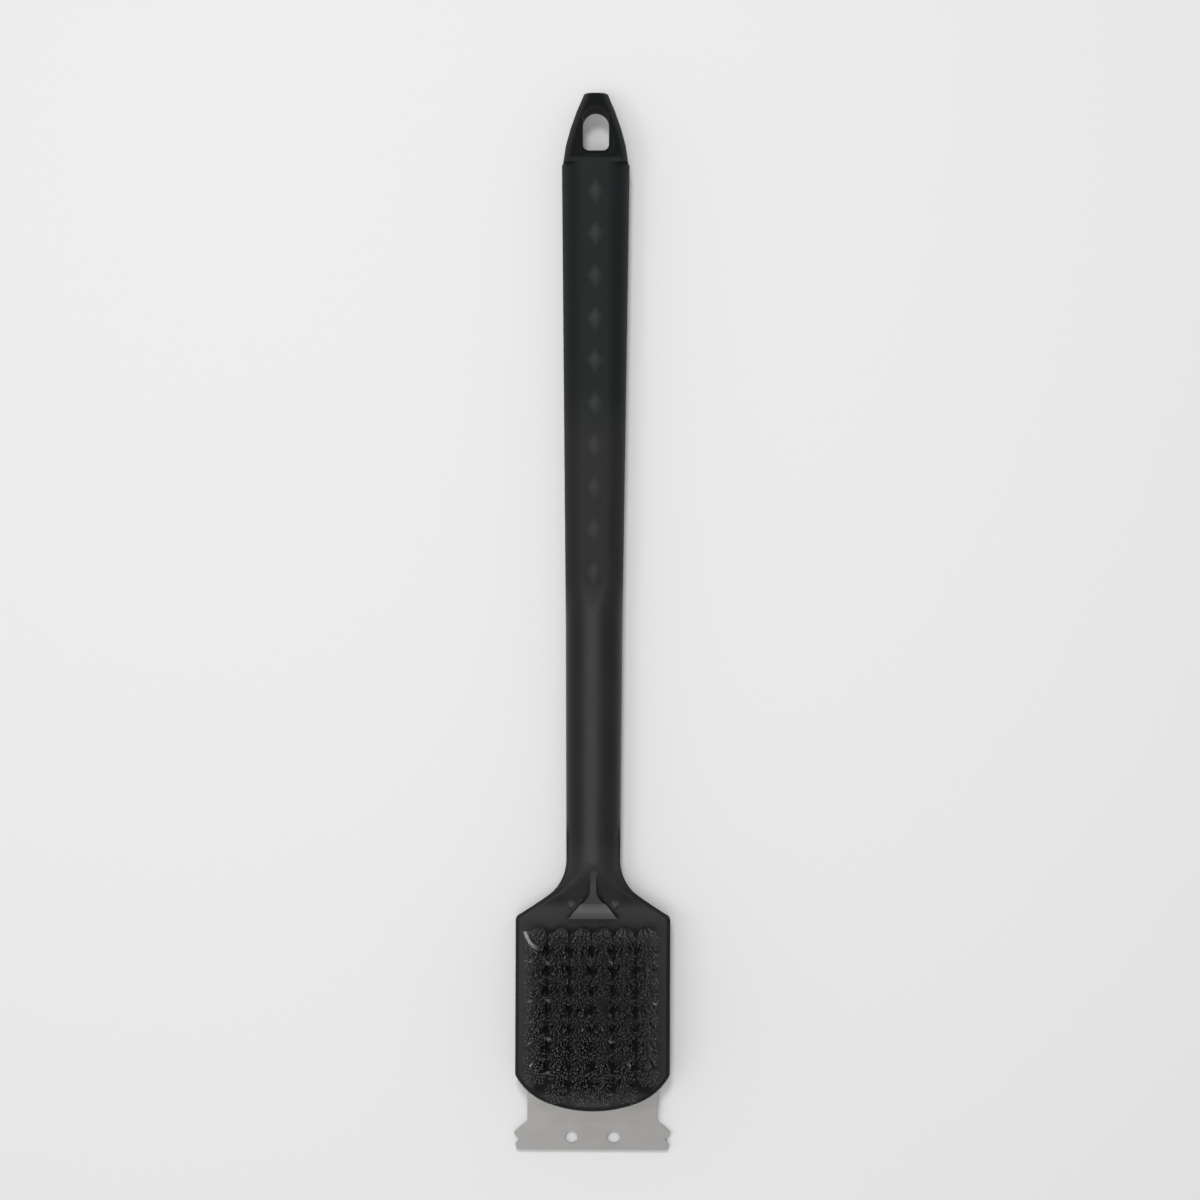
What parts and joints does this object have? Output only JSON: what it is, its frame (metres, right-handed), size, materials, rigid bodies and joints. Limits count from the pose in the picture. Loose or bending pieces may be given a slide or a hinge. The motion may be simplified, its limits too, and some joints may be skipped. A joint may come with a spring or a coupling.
{
  "type": "grill brush",
  "caption": "Long-handled grill brush: a moulded handle and head in one piece, wire tufts set in the head and a flat steel scraper plate behind its tip.",
  "frame": {"origin": "on the flat back face of the head, under the middle of the full rows of tufts", "axes": "+Z out of the face of the head along the wires, +Y along the handle towards its hanging slot, +X to the right when seen from the wires with the handle up"},
  "size_m": [0.0844, 0.566, 0.047],
  "materials": {
    "black_plastic": "satin moulded black",
    "bristle_wire": "dark drawn steel wire, crimped",
    "scraper_steel": "plain stainless sheet",
    "screw_steel": "zinc plated",
    "anchor_steel": "flat steel wire"
  },
  "bodies": {
    "root": {"moulded_body": "black_plastic", "scraper_blade": "scraper_steel", "scraper_screw_left": "screw_steel", "scraper_screw_right": "screw_steel", "tuft_anchors": "anchor_steel", "tuft_row1_col1": "bristle_wire", "tuft_row1_col2": "bristle_wire", "tuft_row1_col3": "bristle_wire", "tuft_row1_col4": "bristle_wire", "tuft_row1_col5": "bristle_wire", "tuft_row1_col6": "bristle_wire", "tuft_row2_col1": "bristle_wire", "tuft_row2_col2": "bristle_wire", "tuft_row2_col3": "bristle_wire", "tuft_row2_col4": "bristle_wire", "tuft_row2_col5": "bristle_wire", "tuft_row2_col6": "bristle_wire", "tuft_row3_col1": "bristle_wire", "tuft_row3_col2": "bristle_wire", "tuft_row3_col3": "bristle_wire", "tuft_row3_col4": "bristle_wire", "tuft_row3_col5": "bristle_wire", "tuft_row3_col6": "bristle_wire", "tuft_row4_col1": "bristle_wire", "tuft_row4_col2": "bristle_wire", "tuft_row4_col3": "bristle_wire", "tuft_row4_col4": "bristle_wire", "tuft_row4_col5": "bristle_wire", "tuft_row4_col6": "bristle_wire", "tuft_row5_col1": "bristle_wire", "tuft_row5_col2": "bristle_wire", "tuft_row5_col3": "bristle_wire", "tuft_row5_col4": "bristle_wire", "tuft_row5_col5": "bristle_wire", "tuft_row5_col6": "bristle_wire", "tuft_row6_col1": "bristle_wire", "tuft_row6_col2": "bristle_wire", "tuft_row6_col3": "bristle_wire", "tuft_row6_col4": "bristle_wire", "tuft_row6_col5": "bristle_wire", "tuft_row6_col6": "bristle_wire", "tuft_row7_col1": "bristle_wire", "tuft_row7_col2": "bristle_wire", "tuft_row7_col3": "bristle_wire", "tuft_row7_col4": "bristle_wire", "tuft_row7_col5": "bristle_wire", "tuft_row7_col6": "bristle_wire", "tuft_row8_col1": "bristle_wire", "tuft_row8_col2": "bristle_wire", "tuft_row8_col3": "bristle_wire", "tuft_row8_col4": "bristle_wire", "tuft_row8_col5": "bristle_wire", "tuft_row8_col6": "bristle_wire", "tuft_row9_col1": "bristle_wire", "tuft_row9_col2": "bristle_wire", "tuft_row9_col3": "bristle_wire", "tuft_row9_col4": "bristle_wire"}
  },
  "joints": []
}
